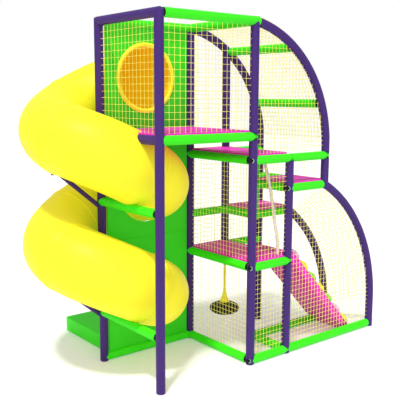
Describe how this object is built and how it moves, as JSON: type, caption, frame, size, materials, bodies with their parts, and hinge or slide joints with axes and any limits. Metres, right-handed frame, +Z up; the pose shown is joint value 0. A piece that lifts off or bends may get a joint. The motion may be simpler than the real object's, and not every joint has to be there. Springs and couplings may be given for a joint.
{
  "type": "indoor play maze",
  "caption": "Soft-play climbing tower with padded stepped decks, spiral tube slide, netted arches, climbing ramp and hanging disc swing.",
  "frame": {"origin": "centre of the bounding box at floor level", "axes": "+Z up, +X along the maze from the slide towards the ramp, +Y from the netted front to the back where the slide lands"},
  "size_m": [4.1424, 2.267, 3.7162],
  "materials": {
    "purple_vinyl": "PVC vinyl sleeve over foam and steel pipe, satin",
    "green_vinyl": "PVC vinyl sleeve over foam and steel pipe, satin",
    "magenta_vinyl": "PVC vinyl padding over foam and board, satin",
    "green_board": "moulded polyethylene sheet, satin",
    "yellow_plastic": "rotationally moulded polyethylene, gloss",
    "hold_plastic": "cast resin holds on a thin facing sheet",
    "net_cord": "twisted polyester cord",
    "zinc_steel": "zinc plated",
    "black_vinyl": "PVC vinyl padding over foam, satin",
    "pale_plastic": "smooth coated pipe"
  },
  "bodies": {
    "maze": {"post_front_left": "purple_vinyl", "post_back_left": "purple_vinyl", "post_back_middle": "purple_vinyl", "post_front_middle": "purple_vinyl", "post_front_step": "purple_vinyl", "post_back_step": "purple_vinyl", "arch_upper_front": "purple_vinyl", "arch_upper_back": "purple_vinyl", "arch_lower_front": "purple_vinyl", "arch_lower_rear": "purple_vinyl", "beam_top_left": "purple_vinyl", "beam_tower_left": "purple_vinyl", "slide_strut_high": "purple_vinyl", "slide_strut_low": "purple_vinyl", "frame_top": "green_vinyl", "frame_tower_deck": "green_vinyl", "frame_step_high": "green_vinyl", "frame_steps": "green_vinyl", "frame_landing": "green_vinyl", "frame_ground": "green_vinyl", "beam_arch_high": "green_vinyl", "beam_arch_low": "green_vinyl", "beam_slide_high": "green_vinyl", "beam_slide_low": "green_vinyl", "exit_mat": "green_vinyl", "deck_tower": "magenta_vinyl", "deck_step_high": "magenta_vinyl", "deck_step_low": "magenta_vinyl", "deck_mid": "magenta_vinyl", "deck_landing": "magenta_vinyl", "ramp": "magenta_vinyl", "panel_upper": "green_board", "panel_middle": "green_board", "panel_lower": "green_board", "slide_section_1": "yellow_plastic", "slide_section_2": "yellow_plastic", "slide_section_3": "yellow_plastic", "slide_section_4": "yellow_plastic", "slide_section_5": "yellow_plastic", "slide_section_6": "yellow_plastic", "slide_section_7": "yellow_plastic", "slide_mouth_ring": "yellow_plastic", "ramp_holds": "hold_plastic", "net_tower_left": "net_cord", "net_tower_front": "net_cord", "net_side_low": "net_cord", "net_side_high": "net_cord", "net_front_low": "net_cord", "net_front_high": "net_cord", "net_arch_front": "net_cord", "net_back": "net_cord", "net_ramp_front": "net_cord", "net_arch_roof": "net_cord", "net_ramp_roof": "net_cord", "swing_bracket": "zinc_steel", "grab_pole": "pale_plastic"},
    "swing_link": {"swing_link": "zinc_steel"},
    "swing_rope": {"swing_rope": "net_cord"},
    "swing_seat": {"swing_cone": "yellow_plastic", "swing_disc": "black_vinyl"}
  },
  "joints": [
    {"name": "swing_sideways", "type": "hinge", "parent": "maze", "child": "swing_link", "pos_m": [0.2132, -0.3465, 0.985], "axis": [1, 0, 0], "range_deg": [-22, 22]},
    {"name": "swing_lengthways", "type": "hinge", "parent": "swing_link", "child": "swing_rope", "pos_m": [0.2132, -0.3465, 0.935], "axis": [0, 1, 0], "range_deg": [-22, 6]},
    {"name": "seat_spin", "type": "hinge", "parent": "swing_rope", "child": "swing_seat", "pos_m": [0.2132, -0.3465, 0.6379], "axis": [0, 0, 1], "continuous": true}
  ]
}
